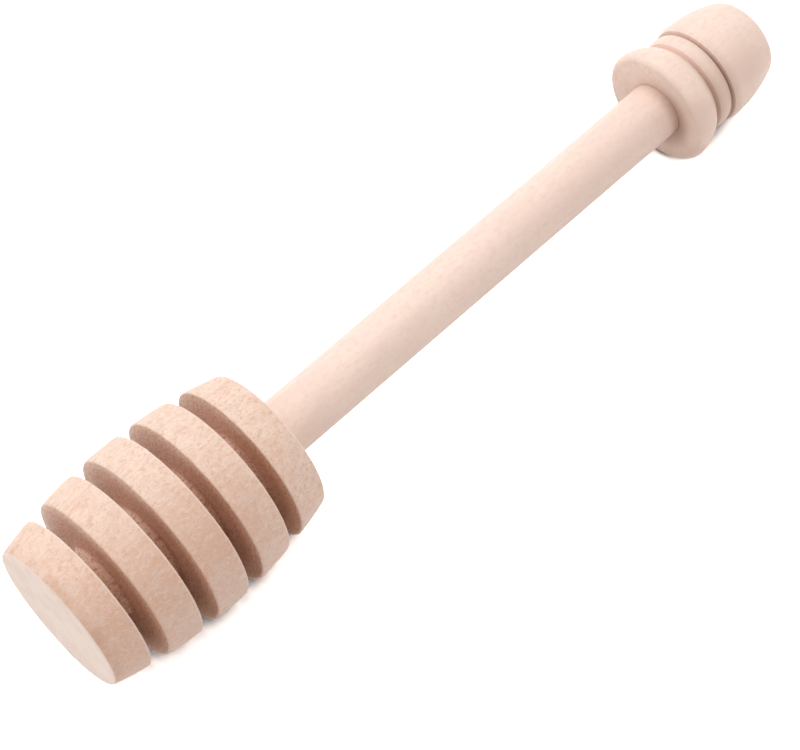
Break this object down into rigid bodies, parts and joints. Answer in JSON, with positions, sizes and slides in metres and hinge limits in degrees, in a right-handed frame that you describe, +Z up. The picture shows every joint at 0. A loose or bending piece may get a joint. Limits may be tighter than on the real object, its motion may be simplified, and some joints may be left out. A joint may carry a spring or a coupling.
{
  "type": "honey dipper",
  "caption": "Turned wooden honey dipper: a grooved barrel head that picks up and drips honey, a straight dowel handle and a rounded end knob.",
  "frame": {"origin": "bottom centre of the bounding box: below the middle of the length, level with the lowest point of the head, with the dipper lying on its side", "axes": "+X along the dipper's axis, from the flat front face of the head to the end knob; +Z up; +Y across"},
  "size_m": [0.1516, 0.0306, 0.0306],
  "materials": {
    "head_wood": "bare, sanded, with short grain flecks",
    "handle_wood": "bare, smooth sanded",
    "knob_wood": "bare, smooth sanded"
  },
  "bodies": {
    "root": {"dipper_head": "head_wood", "handle": "handle_wood", "end_knob": "knob_wood"}
  },
  "joints": []
}
